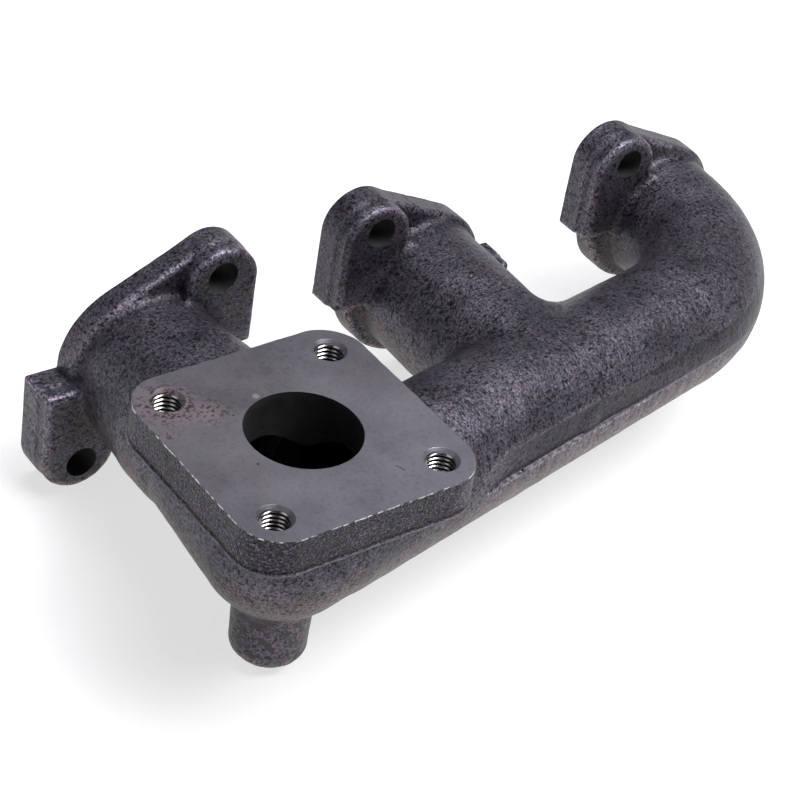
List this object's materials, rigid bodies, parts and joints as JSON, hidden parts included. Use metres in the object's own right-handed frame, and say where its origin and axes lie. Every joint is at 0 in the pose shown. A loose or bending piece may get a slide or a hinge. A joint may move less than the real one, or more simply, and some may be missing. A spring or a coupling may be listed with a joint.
{
  "type": "exhaust manifold",
  "caption": "Cast-iron exhaust manifold: lugged side ports feed a slanted collector pipe that ends under a square machined outlet flange with tapped corner holes.",
  "frame": {"origin": "middle of the underside of the bounding box, level with the foot of the support boss", "axes": "+X along the row of ports, from the outlet towards the elbow; +Y towards the cylinder head; +Z out of the outlet face"},
  "size_m": [0.2486, 0.1124, 0.0769],
  "materials": {
    "cast_skin": "as sand cast: coarse, pitted, dull grey with a slight purple and brown tint",
    "machined_iron": "face-milled top, satin grey with faint stains; sand-cast edges"
  },
  "bodies": {
    "root": {"outlet_flange": "machined_iron", "outlet_neck": "cast_skin", "outlet_chamber": "cast_skin", "support_boss": "cast_skin", "collector_front": "cast_skin", "collector_junction": "cast_skin", "collector_rear": "cast_skin", "end_elbow": "cast_skin", "port_runner_1": "cast_skin", "port_runner_2": "cast_skin", "port_runner_3": "cast_skin", "port_flange_1": "cast_skin", "stud_pad_1_upper": "cast_skin", "stud_pad_1_lower": "cast_skin", "port_flange_2": "cast_skin", "stud_pad_2_upper": "cast_skin", "stud_pad_2_lower": "cast_skin", "port_flange_3": "cast_skin", "stud_pad_3_upper": "cast_skin", "stud_pad_3_lower": "cast_skin"}
  },
  "joints": []
}
